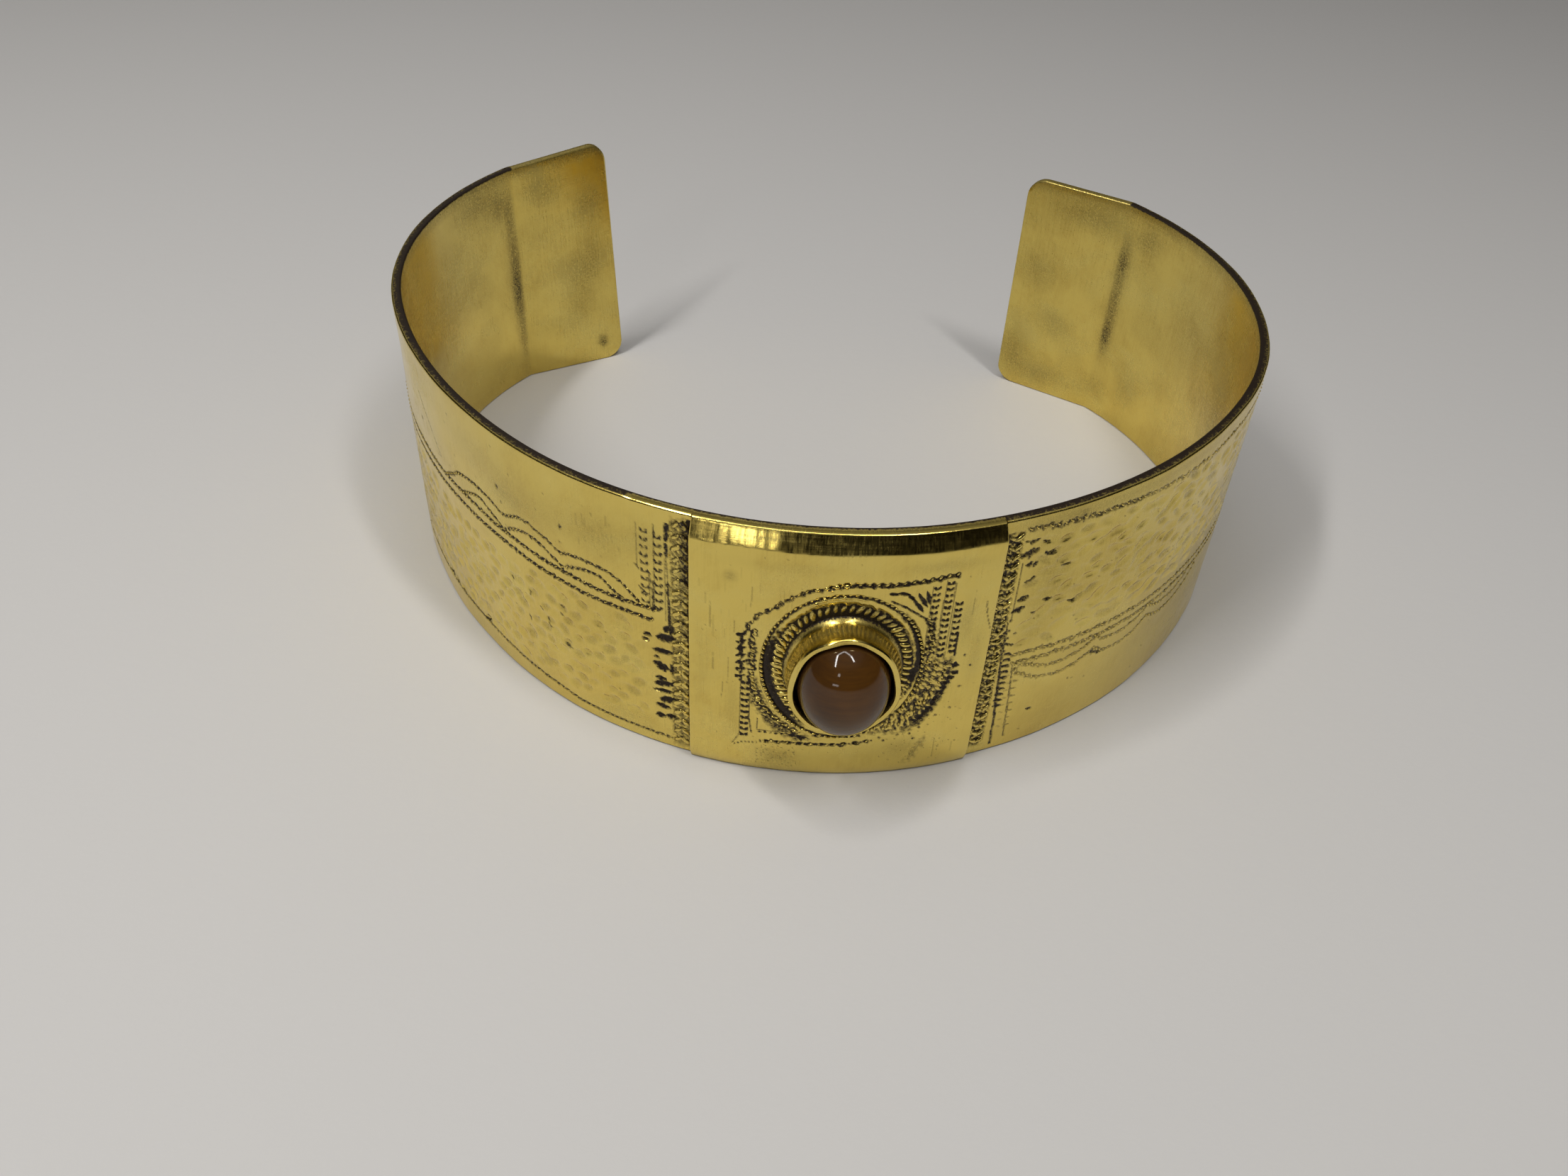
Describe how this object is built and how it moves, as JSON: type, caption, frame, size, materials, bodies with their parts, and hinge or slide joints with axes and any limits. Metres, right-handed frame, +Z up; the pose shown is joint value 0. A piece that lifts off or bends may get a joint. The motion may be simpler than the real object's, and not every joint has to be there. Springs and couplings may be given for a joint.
{
  "type": "cuff bracelet",
  "caption": "Open cuff bracelet of sheet brass, standing on its edge, with a raised front plaque and an oval brown cabochon in a plain collar.",
  "frame": {"origin": "on the surface that the cuff stands on, under the middle of its outline", "axes": "+X to the right across the cuff, seen from the plaque; +Y from the plaque to the opening at the back; +Z up, along the wrist"},
  "size_m": [0.0656, 0.0608, 0.0205],
  "materials": {
    "brass": "polished, with dark patina in the chased lines",
    "stone": "polished, translucent brown"
  },
  "bodies": {
    "root": {"cuff": "brass", "stone": "stone"}
  },
  "joints": []
}
